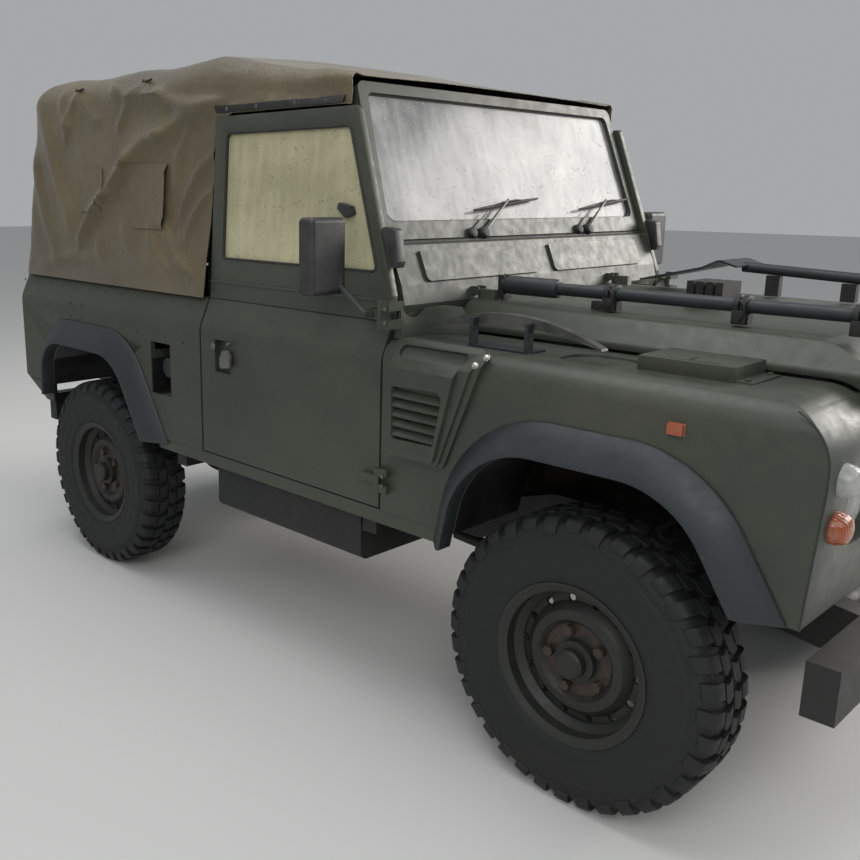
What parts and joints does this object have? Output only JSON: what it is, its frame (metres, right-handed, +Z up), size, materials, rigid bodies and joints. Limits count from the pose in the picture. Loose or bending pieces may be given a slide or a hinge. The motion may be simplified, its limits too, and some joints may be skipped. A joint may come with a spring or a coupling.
{
  "type": "light 4x4 utility vehicle with canvas hood",
  "caption": "Army 4x4 car with a canvas hood: box chassis, opening doors, bonnet and tailgate, steered front wheels, tools carried on the bonnet.",
  "frame": {"origin": "centre of the overall length and width, on the ground", "axes": "+X forwards, +Y to the vehicle's left, +Z up"},
  "size_m": [3.725, 2.02, 2.03],
  "materials": {
    "paint": "matt olive green",
    "paint_black": "matt black",
    "canvas": "olive green canvas",
    "rubber": "black rubber",
    "tyre": "black rubber tyre",
    "glass": "clear",
    "lens": "clear lens",
    "steel": "oiled dark steel",
    "bare_steel": "worn bare steel",
    "seat": "dark seat cover",
    "plastic": "black plastic"
  },
  "bodies": {
    "vehicle": {"axles": "paint_black", "chassis_frame": "paint_black", "coil_springs": "paint_black", "radius_arms": "paint_black", "engine_block": "steel", "driveline": "steel", "fuel_tank": "paint_black", "exhaust": "steel", "cab_floor": "paint", "sills": "paint", "bulkhead": "paint", "door_hinges": "paint", "windscreen_frame": "paint", "windscreen_glass": "glass", "vent_flaps": "paint", "wipers": "paint_black", "right_wing": "paint", "left_wing": "paint", "arch_flares": "paint", "air_intake": "paint", "front_panel": "paint", "radiator": "plastic", "headlamps": "lens", "small_lamps": "lens", "front_bumper": "paint_black", "towing_jaw": "paint_black", "box_cover": "paint", "pick_head": "bare_steel", "pick_stand": "paint_black", "rear_tub": "paint", "filler_cap": "plastic", "roll_bars": "paint_black", "canvas_hood": "canvas", "seat_cushions": "seat", "seat_backs": "seat", "dashboard": "plastic"},
    "bonnet_lid": {"bonnet": "paint", "tool_tube": "paint_black", "shovel": "paint", "bonnet_fittings": "rubber"},
    "door_right": {"right_door": "paint", "right_door_top": "paint", "right_door_glass": "glass", "right_mirror": "plastic"},
    "door_left": {"left_door": "paint", "left_door_top": "paint", "left_door_glass": "glass", "left_mirror": "plastic"},
    "tailgate_flap": {"tailgate": "paint"},
    "knuckle_right": {"right_knuckle": "paint_black"},
    "knuckle_left": {"left_knuckle": "paint_black"},
    "steering_rod": {"track_rod": "paint_black"},
    "wheel_front_right": {"front_right_tyre": "tyre", "front_right_rim": "paint"},
    "wheel_front_left": {"front_left_tyre": "tyre", "front_left_rim": "paint"},
    "wheel_rear_right": {"rear_right_tyre": "tyre", "rear_right_rim": "paint"},
    "wheel_rear_left": {"rear_left_tyre": "tyre", "rear_left_rim": "paint"}
  },
  "joints": [
    {"name": "steer_right", "type": "hinge", "parent": "vehicle", "child": "knuckle_right", "pos_m": [1.2425, -0.66, 0.398], "axis": [0, 0, 1], "range_deg": [-30, 30]},
    {"name": "steer_left", "type": "hinge", "parent": "vehicle", "child": "knuckle_left", "pos_m": [1.2425, 0.66, 0.398], "axis": [0, 0, 1], "range_deg": [-30, 30]},
    {"name": "steering_rod_eye", "type": "hinge", "parent": "knuckle_right", "child": "steering_rod", "pos_m": [1.0925, -0.62, 0.286], "axis": [0, 0, 1], "range_deg": [-30, 30]},
    {"name": "bonnet_hinge", "type": "hinge", "parent": "vehicle", "child": "bonnet_lid", "pos_m": [0.576, 0, 1.29], "axis": [0, -1, 0], "range_deg": [0, 50]},
    {"name": "door_right_hinge", "type": "hinge", "parent": "vehicle", "child": "door_right", "pos_m": [0.561, -0.845, 0.95], "axis": [0, 0, 1], "range_deg": [0, 75]},
    {"name": "door_left_hinge", "type": "hinge", "parent": "vehicle", "child": "door_left", "pos_m": [0.561, 0.845, 0.95], "axis": [0, 0, -1], "range_deg": [0, 75]},
    {"name": "tailgate_hinge", "type": "hinge", "parent": "vehicle", "child": "tailgate_flap", "pos_m": [-1.76, 0, 0.732], "axis": [0, -1, 0], "range_deg": [0, 90]},
    {"name": "front_right_spin", "type": "hinge", "parent": "knuckle_right", "child": "wheel_front_right", "pos_m": [1.2425, -0.743, 0.398], "axis": [0, 1, 0], "continuous": true},
    {"name": "front_left_spin", "type": "hinge", "parent": "knuckle_left", "child": "wheel_front_left", "pos_m": [1.2425, 0.743, 0.398], "axis": [0, 1, 0], "continuous": true},
    {"name": "rear_right_spin", "type": "hinge", "parent": "vehicle", "child": "wheel_rear_right", "pos_m": [-1.1175, -0.743, 0.398], "axis": [0, 1, 0], "continuous": true},
    {"name": "rear_left_spin", "type": "hinge", "parent": "vehicle", "child": "wheel_rear_left", "pos_m": [-1.1175, 0.743, 0.398], "axis": [0, 1, 0], "continuous": true}
  ],
  "couplings": [
    {"joint": "steer_left", "follows": "steer_right", "ratio": 1},
    {"joint": "steering_rod_eye", "follows": "steer_right", "ratio": -1}
  ]
}
